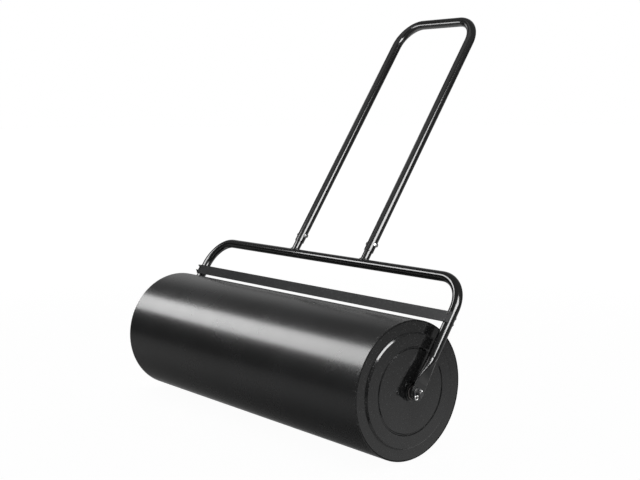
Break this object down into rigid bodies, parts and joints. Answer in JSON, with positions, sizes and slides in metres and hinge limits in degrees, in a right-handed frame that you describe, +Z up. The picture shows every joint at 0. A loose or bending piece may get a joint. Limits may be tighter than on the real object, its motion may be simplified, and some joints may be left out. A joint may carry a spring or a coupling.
{
  "type": "push lawn roller",
  "caption": "Hollow steel lawn roller drum on a through axle, held in a bent tube yoke with a scraper bar and a U-shaped push handle bolted on top.",
  "frame": {"origin": "on the ground, under the middle of the drum", "axes": "+X along the drum's axle, +Y back towards the user who holds the handle, +Z up"},
  "size_m": [0.98, 0.7223, 0.9823],
  "materials": {
    "black_gloss_paint": "gloss",
    "drum_paint": "gloss",
    "scraper_paint": "satin",
    "zinc_plate": "zinc plated",
    "black_zinc": "black plated, satin",
    "primed_steel": "primed, unpainted",
    "nylon": "matte",
    "rubber_seal": "matte"
  },
  "bodies": {
    "frame": {"yoke_tube": "black_gloss_paint", "right_spigot": "black_gloss_paint", "left_spigot": "black_gloss_paint", "spigot_welds": "black_gloss_paint", "handle_tube": "black_gloss_paint", "handle_bolts": "zinc_plate", "handle_nuts": "zinc_plate", "handle_washers": "zinc_plate", "scraper_bar": "scraper_paint", "scraper_screws": "black_zinc", "scraper_nuts": "black_zinc", "axle_rod": "black_zinc", "right_split_pin": "zinc_plate", "left_split_pin": "zinc_plate", "right_spacer": "black_zinc", "left_spacer": "black_zinc", "right_washer": "black_zinc", "left_washer": "black_zinc"},
    "drum": {"drum_shell": "drum_paint", "right_end_cap": "drum_paint", "left_end_cap": "drum_paint", "centre_tube": "primed_steel", "right_hub_ring": "drum_paint", "left_hub_ring": "drum_paint", "right_hub_bush": "nylon", "left_hub_bush": "nylon", "filler_neck": "primed_steel"},
    "plug": {"filler_plug": "zinc_plate", "plug_seal": "rubber_seal"}
  },
  "joints": [
    {"name": "drum_spin", "type": "hinge", "parent": "frame", "child": "drum", "pos_m": [0, 0, 0.1525], "axis": [1, 0, 0], "continuous": true},
    {"name": "plug_out", "type": "slide", "parent": "drum", "child": "plug", "axis": [-1, 0, 0], "range_m": [0, 0.02]}
  ]
}
